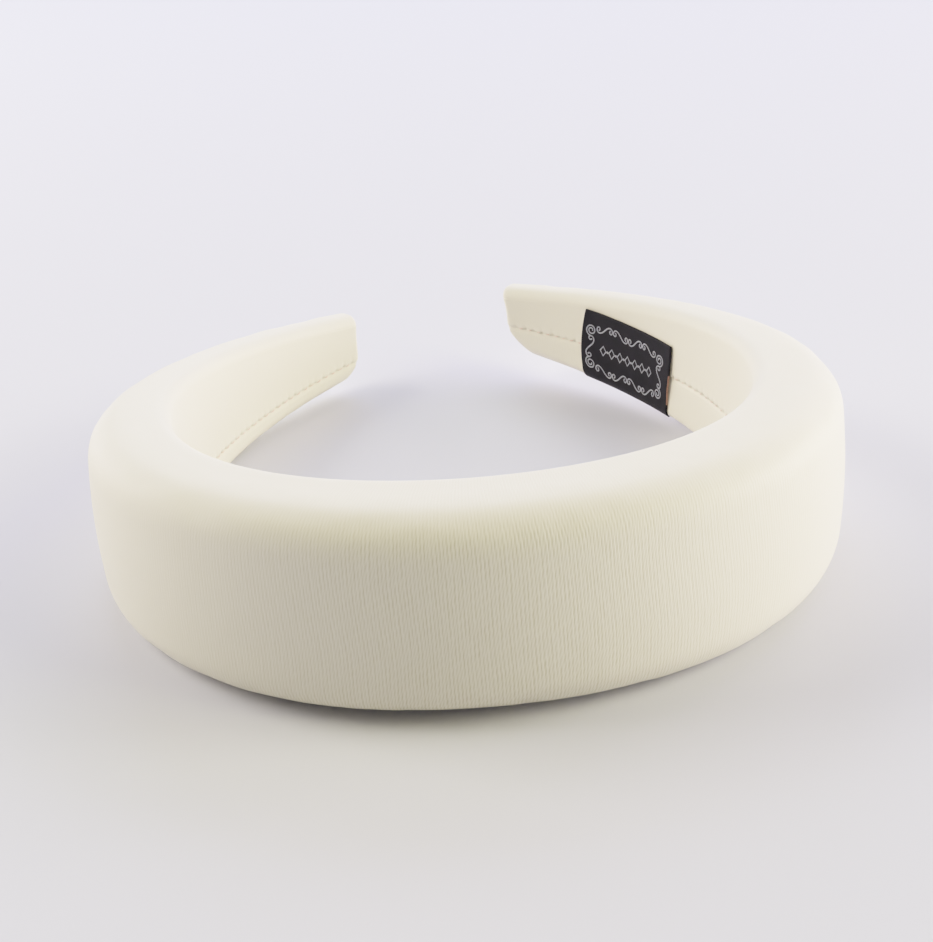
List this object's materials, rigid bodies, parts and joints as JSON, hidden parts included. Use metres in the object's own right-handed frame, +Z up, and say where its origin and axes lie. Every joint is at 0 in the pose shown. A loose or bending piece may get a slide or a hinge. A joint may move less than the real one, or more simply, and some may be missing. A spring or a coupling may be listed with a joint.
{
  "type": "padded headband",
  "caption": "Wide padded headband in ivory cloth, tapering from a deep crown to two narrow tips, with a lapped seam inside and a black woven label.",
  "frame": {"origin": "centre of the headband's outer box seen from above, on the surface that it lies on", "axes": "+Z up, across the band's width; +Y from the crown towards the open tips; +X towards the leg with the label"},
  "size_m": [0.1566, 0.1656, 0.0408],
  "materials": {
    "cover_cloth": "ivory polyester satin twill drawn smooth over padding",
    "lap_cloth": "the same ivory satin twill, lapped and sewn down inside",
    "label_cloth": "black woven satin label with a silver-grey woven ornament"
  },
  "bodies": {
    "root": {"padded_band": "cover_cloth", "upper_lap_panel": "lap_cloth", "lower_lap_panel": "lap_cloth", "woven_label": "label_cloth"}
  },
  "joints": []
}
